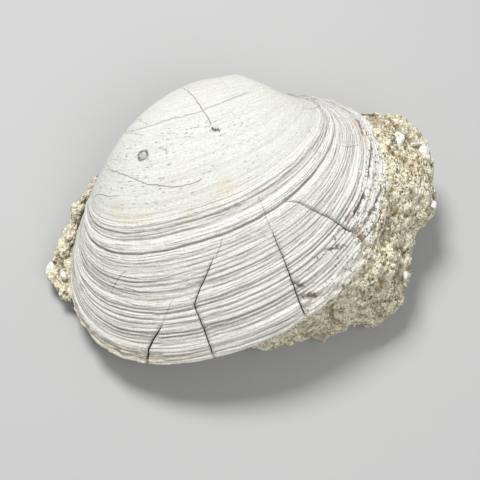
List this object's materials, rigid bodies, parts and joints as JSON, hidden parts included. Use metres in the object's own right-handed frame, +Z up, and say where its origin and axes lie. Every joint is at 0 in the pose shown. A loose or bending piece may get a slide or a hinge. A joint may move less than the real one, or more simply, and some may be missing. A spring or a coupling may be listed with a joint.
{
  "type": "fossil clam",
  "caption": "Domed fossil clam valve with concentric growth ridges, cracked at its edge, lying on the rough lump of sandstone that fills it.",
  "frame": {"origin": "middle of the box round the specimen, at the flat spot that it rests on", "axes": "+X along the specimen towards its hind end, +Y from the valve's free edge towards its beak, +Z up, out of the dome"},
  "size_m": [0.1123, 0.0833, 0.0384],
  "materials": {
    "shell": "matt chalky white with warm grey growth lines",
    "sandstone": "rough sandy tan",
    "shell_chips": "matt chalky white",
    "brown_shell": "matt brown grey"
  },
  "bodies": {
    "root": {"valve": "shell", "matrix": "sandstone", "chip_top": "shell_chips", "chip_corner": "shell_chips", "sliver_corner": "shell_chips", "chip_right": "shell_chips", "chip_low_right": "shell_chips", "chip_left_tip": "shell_chips", "chip_left": "shell_chips", "edge_plate": "brown_shell"}
  },
  "joints": []
}
